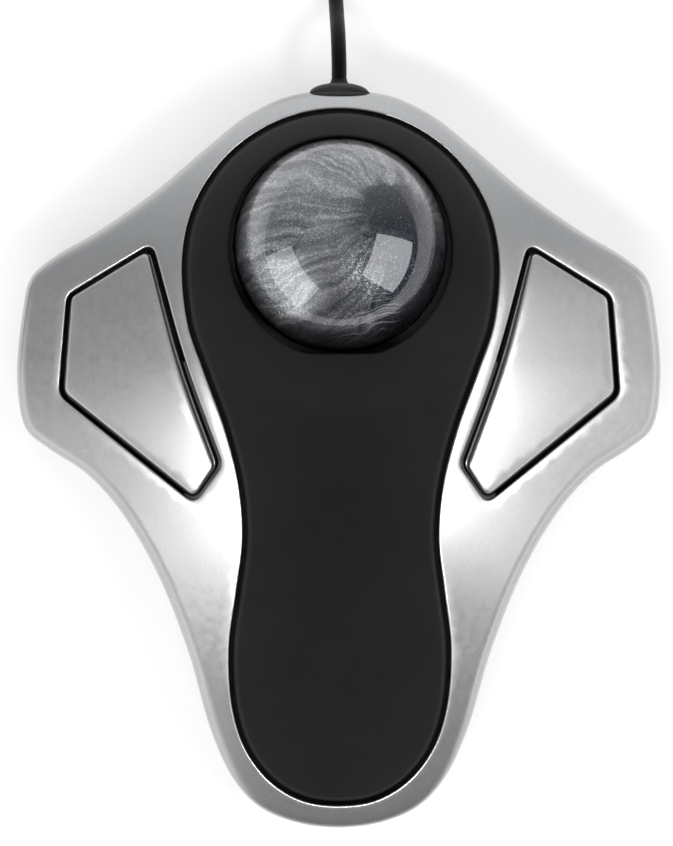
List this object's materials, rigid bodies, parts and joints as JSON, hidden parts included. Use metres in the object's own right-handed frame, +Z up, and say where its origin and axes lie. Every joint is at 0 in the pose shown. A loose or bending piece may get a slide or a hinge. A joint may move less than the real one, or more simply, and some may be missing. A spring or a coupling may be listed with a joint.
{
  "type": "trackball mouse",
  "caption": "Symmetric winged trackball mouse with a large marbled ball, angular silver buttons, a black keyhole cover and a USB cable.",
  "frame": {"origin": "on the desk, under the middle of the case without its cable", "axes": "+Y towards the cable, +X to the right-hand button, +Z up"},
  "size_m": [0.1236, 0.2252, 0.0469],
  "materials": {
    "silver_paint": "satin metallic silver paint over moulded plastic, fine flake",
    "soft_black": "soft-touch black coating",
    "black_plastic": "moulded black plastic, fine texture",
    "marbled_ball": "pearly marbled grey resin with glitter, polished",
    "black_rubber": "matt black rubber and cable jacket",
    "steel": "plated steel",
    "circuit_board": "green solder mask",
    "clear_plastic": "clear moulded plastic",
    "red_plastic": "dark red moulded plastic",
    "white_plastic": "off-white moulded plastic",
    "ceramic": "polished ceramic",
    "label_grey": "blank silver-grey label film"
  },
  "bodies": {
    "case": {"top_shell": "silver_paint", "center_cover": "soft_black", "base_shell": "black_plastic", "button_frame_left": "black_plastic", "hinge_pin_left": "steel", "switch_left": "black_plastic", "button_frame_right": "black_plastic", "hinge_pin_right": "steel", "switch_right": "black_plastic", "ball_socket": "black_plastic", "bearing_1": "ceramic", "bearing_2": "ceramic", "bearing_3": "ceramic", "sensor_window": "red_plastic", "sensor_lens": "clear_plastic", "optical_sensor": "black_plastic", "sensor_led": "clear_plastic", "sensor_board": "circuit_board", "main_board": "circuit_board", "usb_controller": "black_plastic", "crystal": "steel", "capacitor": "black_plastic", "cable_header": "white_plastic", "inner_lead": "black_rubber", "case_screw_1": "steel", "case_screw_2": "steel", "case_screw_3": "steel", "case_screw_4": "steel", "case_screw_5": "steel", "case_screw_6": "steel", "socket_screw_1": "steel", "socket_screw_2": "steel", "socket_screw_3": "steel", "socket_screw_4": "steel", "board_screw_1": "steel", "board_screw_2": "steel", "rubber_foot_1": "black_rubber", "rubber_foot_2": "black_rubber", "rubber_foot_3": "black_rubber", "rubber_foot_4": "black_rubber", "blank_label": "label_grey", "cable_grommet": "black_rubber", "cable": "black_rubber", "cable_tail": "black_rubber", "cable_coil": "black_rubber", "cable_tie": "black_plastic", "usb_plug_body": "black_plastic", "usb_plug_shell": "steel", "usb_plug_tongue": "white_plastic"},
    "left_button": {"button_left": "silver_paint"},
    "right_button": {"button_right": "silver_paint"},
    "left_plunger": {"switch_plunger_left": "red_plastic"},
    "right_plunger": {"switch_plunger_right": "red_plastic"},
    "ball": {"ball": "marbled_ball"}
  },
  "joints": [
    {"name": "ball_roll", "type": "hinge", "parent": "case", "child": "ball", "pos_m": [0, 0.0408, 0.027], "axis": [1, 0, 0], "continuous": true},
    {"name": "left_button_press", "type": "hinge", "parent": "case", "child": "left_button", "pos_m": [-0.04205, 0.033, 0.02013], "axis": [0.8285, 0.484, 0.2817], "range_deg": [0, 1.4], "stiffness_Nm_per_rad": 0.3, "springref_deg": -2.29},
    {"name": "right_button_press", "type": "hinge", "parent": "case", "child": "right_button", "pos_m": [0.04205, 0.033, 0.02013], "axis": [0.8285, -0.484, -0.2817], "range_deg": [0, 1.4], "stiffness_Nm_per_rad": 0.3, "springref_deg": -2.29},
    {"name": "left_plunger_travel", "type": "slide", "parent": "case", "child": "left_plunger", "axis": [0, 0, -1], "range_m": [0, 0.0008]},
    {"name": "right_plunger_travel", "type": "slide", "parent": "case", "child": "right_plunger", "axis": [0, 0, -1], "range_m": [0, 0.0008]}
  ],
  "couplings": [
    {"joint": "left_plunger_travel", "follows": "left_button_press", "m_per_rad": 0.030063},
    {"joint": "right_plunger_travel", "follows": "right_button_press", "m_per_rad": 0.030063}
  ]
}
